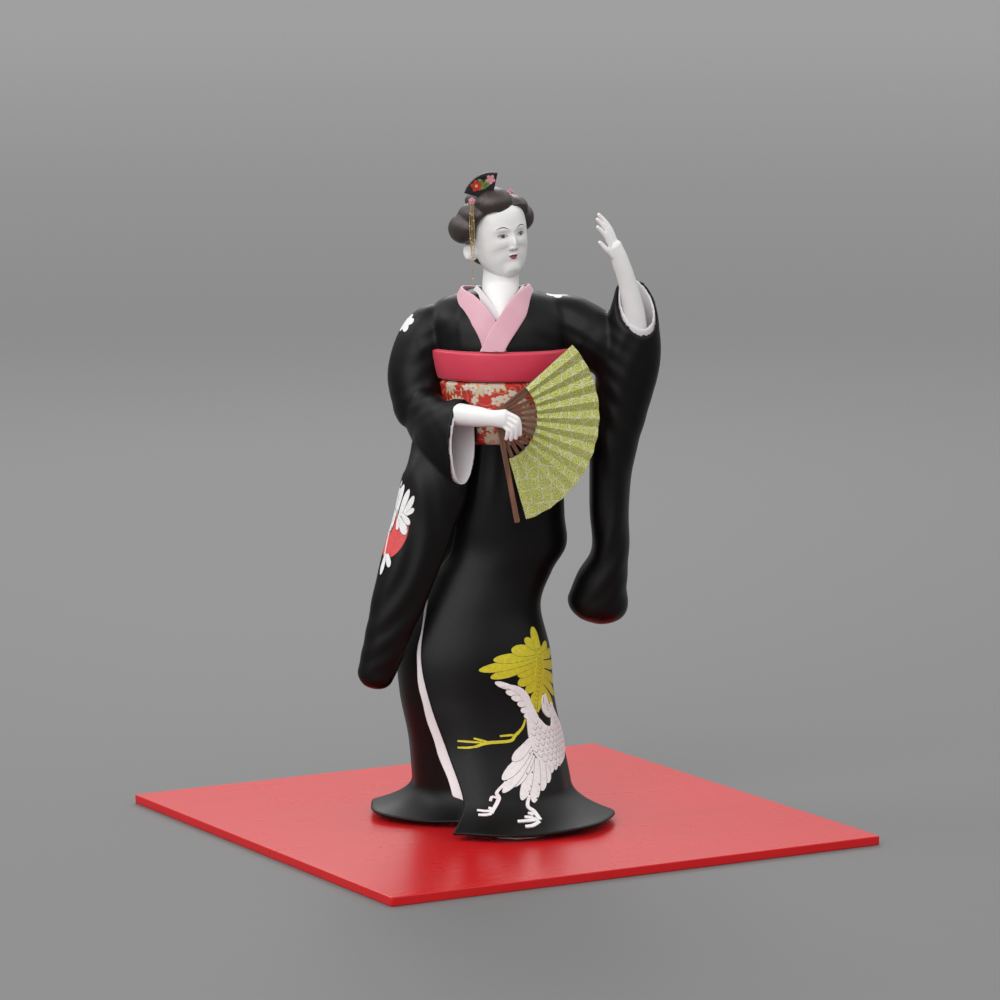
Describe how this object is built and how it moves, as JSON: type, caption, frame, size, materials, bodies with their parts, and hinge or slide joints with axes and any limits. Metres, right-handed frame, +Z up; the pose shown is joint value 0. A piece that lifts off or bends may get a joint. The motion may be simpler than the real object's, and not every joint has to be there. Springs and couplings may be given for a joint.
{
  "type": "japanese dancing doll on a board",
  "caption": "Standing doll of a dancer in a long-sleeved black kimono with an open folding fan and a raised hand, fixed on a flat square board.",
  "frame": {"origin": "middle of the board's underside", "axes": "+Z up, the board's sides along X and Y; the doll faces 30 degrees from -Y towards -X"},
  "size_m": [0.3, 0.3, 0.3591],
  "materials": {
    "board_lacquer": "satin red lacquer on a thin board",
    "black_silk": "matt black crepe silk with painted cranes",
    "white_silk": "plain white silk",
    "pink_silk": "pink crepe silk",
    "red_silk": "crimson satin",
    "brocade": "red brocade with cream and orange figures",
    "white_shell": "satin white shell paste",
    "dark_hair": "combed and dressed dark silk hair",
    "black_lacquer": "gloss black lacquer with painted flowers",
    "gilt": "fine gilt metal",
    "fan_paper": "pale paper printed with green rings",
    "bamboo": "brown stained bamboo"
  },
  "bodies": {
    "root": {"base_board": "board_lacquer", "kimono": "black_silk", "under_kimono": "white_silk", "edge_lining": "white_silk", "collar": "pink_silk", "inner_collar": "white_silk", "obi": "brocade", "sash": "red_silk", "obi_knot": "brocade", "right_sleeve_lining": "white_silk", "left_sleeve_lining": "white_silk", "head": "white_shell", "hair": "dark_hair", "hair_fan": "black_lacquer", "right_hair_drops": "gilt", "left_hair_drops": "gilt", "right_hand": "white_shell", "left_hand": "white_shell", "fan_leaf": "fan_paper", "fan_rivet": "gilt", "fan_guard_1": "bamboo", "fan_guard_2": "bamboo", "fan_rib_1": "bamboo", "fan_rib_2": "bamboo", "fan_rib_3": "bamboo", "fan_rib_4": "bamboo", "fan_rib_5": "bamboo", "fan_rib_6": "bamboo", "fan_rib_7": "bamboo", "fan_rib_8": "bamboo", "fan_rib_9": "bamboo", "fan_rib_10": "bamboo", "fan_rib_11": "bamboo"}
  },
  "joints": []
}
